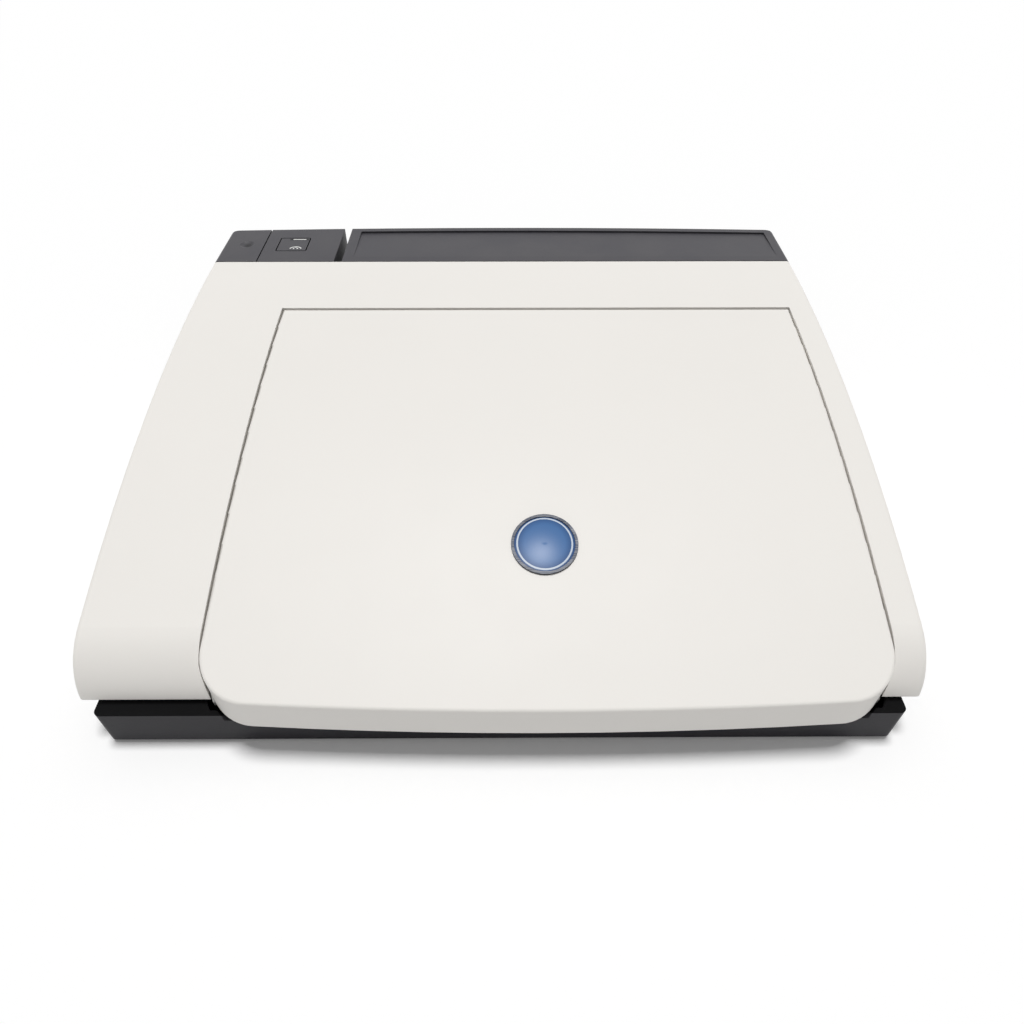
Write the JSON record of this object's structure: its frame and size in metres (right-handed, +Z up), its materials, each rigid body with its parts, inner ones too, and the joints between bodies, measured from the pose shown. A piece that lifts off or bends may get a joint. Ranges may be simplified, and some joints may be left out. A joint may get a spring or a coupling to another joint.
{
  "type": "ecg machine",
  "caption": "Desk ECG recorder: wedge case on a dark tray, display lid folding up over a keyboard, rear writer door, card door, sprung keys and a geared paper drive",
  "frame": {"origin": "under the middle of the recorder, on the surface its feet stand on", "axes": "+X to the operator's right, +Y to the back, +Z up"},
  "size_m": [0.381, 0.351, 0.094],
  "materials": {
    "cream_shell": "fine moulded texture, warm off-white",
    "dark_trim": "fine moulded texture, dark grey",
    "base_black": "moulded, near black",
    "foot_rubber": "dull black rubber",
    "key_cream": "satin key caps",
    "key_grey": "silicone rubber, soft sheen",
    "deck_grey": "fine moulded texture, mid grey",
    "power_green": "satin green key cap",
    "steel": "zinc plated or bright steel",
    "board_green": "solder mask over copper",
    "aluminium": "plain aluminium",
    "cell_wrap": "shrink wrapped battery pack",
    "paper_white": "fan-fold chart paper",
    "platen_rubber": "ground rubber",
    "gear_white": "moulded acetal",
    "socket_black": "moulded contact housing",
    "lcd_stack": "display module in its frame",
    "pane": "clear pane over a dark display",
    "badge_blue": "blue domed resin",
    "badge_rim": "bright rim",
    "earth_brass": "nickel-free brass pin",
    "card_black": "memory card shell"
  },
  "bodies": {
    "chassis": {"base_screws": "steel", "base_tray": "base_black", "battery_pack": "cell_wrap", "card_door_pin": "steel", "card_socket": "socket_black", "data_sockets": "socket_black", "deck_screws": "steel", "door_brackets": "steel", "door_pins": "steel", "drive_motor": "steel", "earth_stud": "earth_brass", "key_mat": "key_grey", "keyboard_board": "board_green", "keyboard_deck": "deck_grey", "lid_arms": "steel", "lid_pins": "steel", "main_board": "board_green", "mains_inlet": "socket_black", "paper_pack": "paper_white", "paper_tray": "dark_trim", "patient_socket": "socket_black", "platen_bushes": "gear_white", "power_supply": "aluminium", "print_head": "aluminium", "rear_housing": "dark_trim", "rubber_feet": "foot_rubber", "speaker": "socket_black", "strip_switch": "socket_black", "upper_case": "cream_shell", "writer_frame": "steel"},
    "lid": {"lid_shell": "cream_shell", "lid_bezel": "dark_trim", "lcd_panel": "lcd_stack", "lcd_window": "pane", "bezel_screws": "steel", "lid_bumpers": "foot_rubber", "badge_rim": "badge_rim", "lid_badge": "badge_blue", "lid_leaves": "steel"},
    "writer_door": {"writer_door": "dark_trim", "tear_bar": "steel"},
    "card_door": {"card_door": "dark_trim"},
    "memory_card": {"memory_card": "card_black"},
    "strip_button": {"strip_button": "dark_trim"},
    "platen": {"platen_shaft": "steel", "platen_rubber": "platen_rubber", "platen_gear": "gear_white"},
    "pinion": {"motor_pinion": "earth_brass"},
    "function_key_1": {"function_key_1": "key_cream"},
    "function_key_2": {"function_key_2": "key_cream"},
    "function_key_3": {"function_key_3": "key_cream"},
    "function_key_4": {"function_key_4": "key_cream"},
    "function_key_5": {"function_key_5": "key_cream"},
    "writer_key_1": {"writer_key_1": "key_cream"},
    "writer_key_2": {"writer_key_2": "key_cream"},
    "writer_key_3": {"writer_key_3": "key_cream"},
    "writer_key_4": {"writer_key_4": "key_cream"},
    "power_key": {"power_key": "power_green"}
  },
  "joints": [
    {"name": "lid_fold", "type": "hinge", "parent": "chassis", "child": "lid", "pos_m": [0.0208, 0.0558, 0.08506], "axis": [-1, 0, 0], "range_deg": [0, 110]},
    {"name": "writer_door_swing", "type": "hinge", "parent": "chassis", "child": "writer_door", "pos_m": [0.04215, 0.169, 0.032], "axis": [-1, 0, 0], "range_deg": [0, 90]},
    {"name": "card_door_swing", "type": "hinge", "parent": "chassis", "child": "card_door", "pos_m": [-0.184, 0.148, 0.032], "axis": [0, -1, 0], "range_deg": [0, 95]},
    {"name": "memory_card_pull", "type": "slide", "parent": "chassis", "child": "memory_card", "axis": [0, 0, 1], "range_m": [0, 0.01]},
    {"name": "strip_button_press", "type": "slide", "parent": "chassis", "child": "strip_button", "axis": [0, 0, -1], "range_m": [0, 0.003], "stiffness_N_per_m": 400, "springref_m": -0.001},
    {"name": "platen_turn", "type": "hinge", "parent": "chassis", "child": "platen", "pos_m": [0.042, 0.148, 0.076], "axis": [1, 0, 0], "continuous": true},
    {"name": "pinion_turn", "type": "hinge", "parent": "chassis", "child": "pinion", "pos_m": [0.162, 0.148, 0.054], "axis": [1, 0, 0], "continuous": true},
    {"name": "function_key_1_press", "type": "slide", "parent": "chassis", "child": "function_key_1", "axis": [0, 0.1908, -0.9816], "range_m": [0, 0.0012], "stiffness_N_per_m": 500, "springref_m": -0.0008},
    {"name": "function_key_2_press", "type": "slide", "parent": "chassis", "child": "function_key_2", "axis": [0, 0.1908, -0.9816], "range_m": [0, 0.0012], "stiffness_N_per_m": 500, "springref_m": -0.0008},
    {"name": "function_key_3_press", "type": "slide", "parent": "chassis", "child": "function_key_3", "axis": [0, 0.1908, -0.9816], "range_m": [0, 0.0012], "stiffness_N_per_m": 500, "springref_m": -0.0008},
    {"name": "function_key_4_press", "type": "slide", "parent": "chassis", "child": "function_key_4", "axis": [0, 0.1908, -0.9816], "range_m": [0, 0.0012], "stiffness_N_per_m": 500, "springref_m": -0.0008},
    {"name": "function_key_5_press", "type": "slide", "parent": "chassis", "child": "function_key_5", "axis": [0, 0.1908, -0.9816], "range_m": [0, 0.0012], "stiffness_N_per_m": 500, "springref_m": -0.0008},
    {"name": "writer_key_1_press", "type": "slide", "parent": "chassis", "child": "writer_key_1", "axis": [0, 0.1908, -0.9816], "range_m": [0, 0.0012], "stiffness_N_per_m": 500, "springref_m": -0.0008},
    {"name": "writer_key_2_press", "type": "slide", "parent": "chassis", "child": "writer_key_2", "axis": [0, 0.1908, -0.9816], "range_m": [0, 0.0012], "stiffness_N_per_m": 500, "springref_m": -0.0008},
    {"name": "writer_key_3_press", "type": "slide", "parent": "chassis", "child": "writer_key_3", "axis": [0, 0.1908, -0.9816], "range_m": [0, 0.0012], "stiffness_N_per_m": 500, "springref_m": -0.0008},
    {"name": "writer_key_4_press", "type": "slide", "parent": "chassis", "child": "writer_key_4", "axis": [0, 0.1908, -0.9816], "range_m": [0, 0.0012], "stiffness_N_per_m": 500, "springref_m": -0.0008},
    {"name": "power_key_press", "type": "slide", "parent": "chassis", "child": "power_key", "axis": [0, 0.1908, -0.9816], "range_m": [0, 0.0012], "stiffness_N_per_m": 500, "springref_m": -0.0008}
  ],
  "couplings": [
    {"joint": "pinion_turn", "follows": "platen_turn", "ratio": -1.2}
  ]
}
